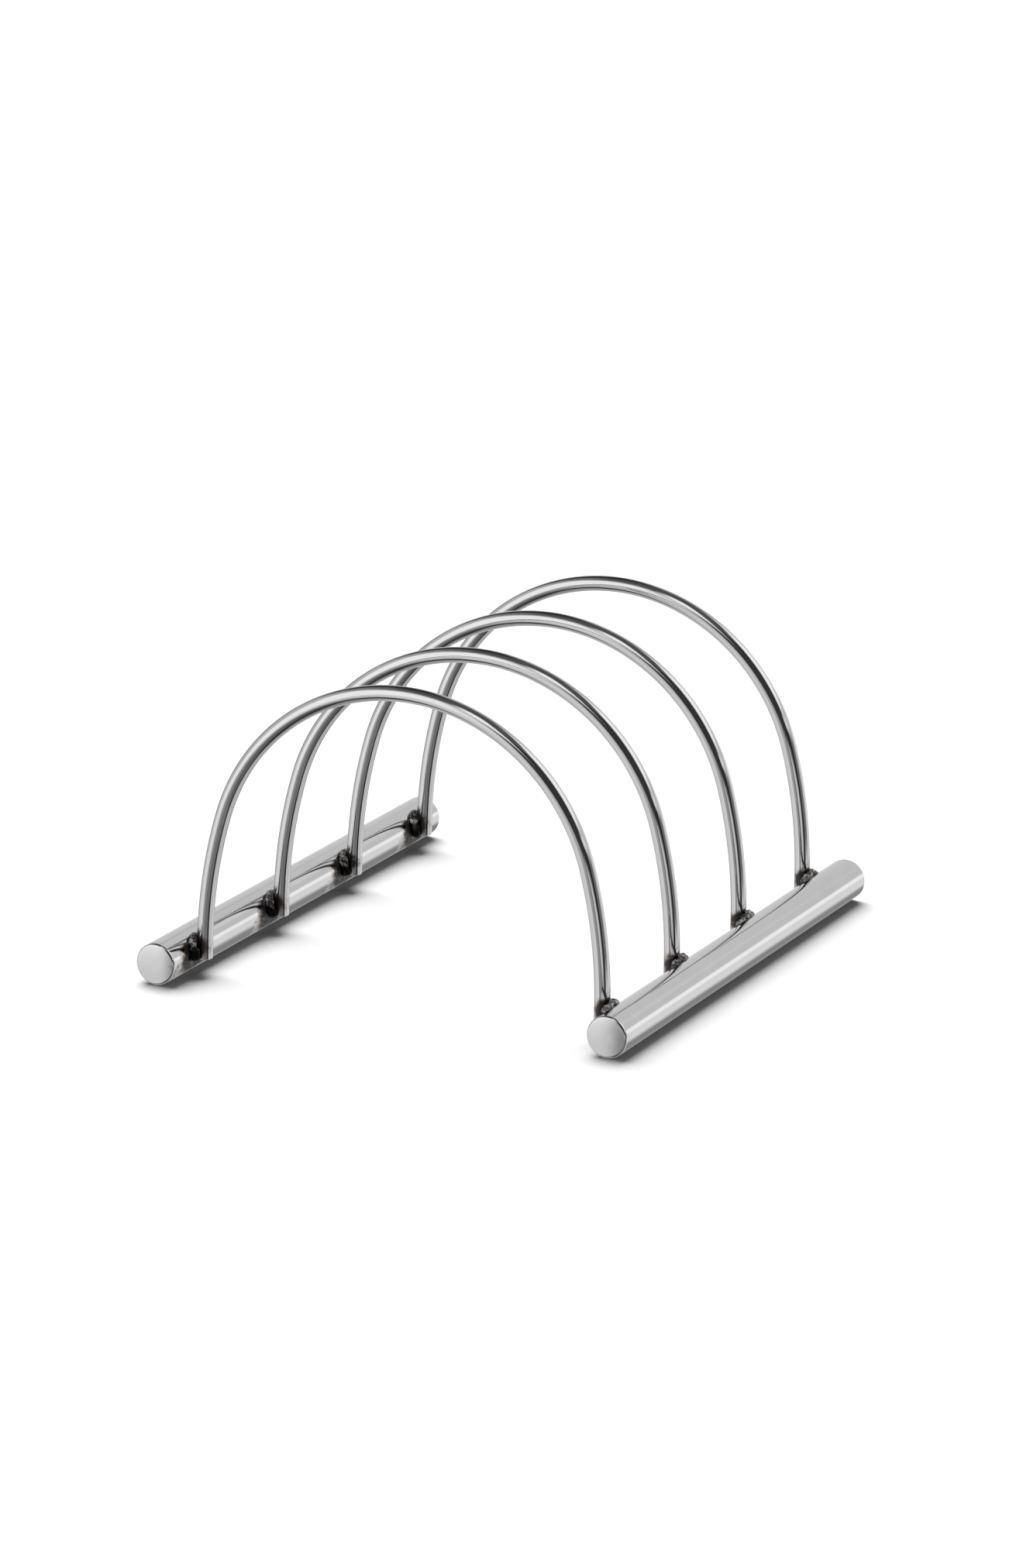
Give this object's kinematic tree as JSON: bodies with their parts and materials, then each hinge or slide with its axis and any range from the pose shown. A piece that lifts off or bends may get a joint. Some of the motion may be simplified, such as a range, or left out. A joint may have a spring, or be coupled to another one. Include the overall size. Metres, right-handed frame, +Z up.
{
  "type": "letter sorter",
  "caption": "Desk letter sorter of bent wire arches welded across polished round base bars; letters stand on edge in the slots between the arches.",
  "frame": {"origin": "on the desk, midway between the base bars and midway along them", "axes": "+Z up, +Y from the front arch to the back arch along the bars, +X to the right seen from the front"},
  "size_m": [0.1586, 0.182, 0.0971],
  "materials": {
    "polished_bar": "mirror polished round bar with flat ends and rounded rims",
    "polished_wire": "mirror polished bent wire",
    "weld_metal": "lumpy weld bead, darker than the wire and faintly heat tinted"
  },
  "bodies": {
    "root": {"left_base_bar": "polished_bar", "right_base_bar": "polished_bar", "front_arch": "polished_wire", "front_arch_left_weld": "weld_metal", "front_arch_right_weld": "weld_metal", "front_divider_arch": "polished_wire", "front_divider_arch_left_weld": "weld_metal", "front_divider_arch_right_weld": "weld_metal", "rear_divider_arch": "polished_wire", "rear_divider_arch_left_weld": "weld_metal", "rear_divider_arch_right_weld": "weld_metal", "back_arch": "polished_wire", "back_arch_left_weld": "weld_metal", "back_arch_right_weld": "weld_metal"}
  },
  "joints": []
}
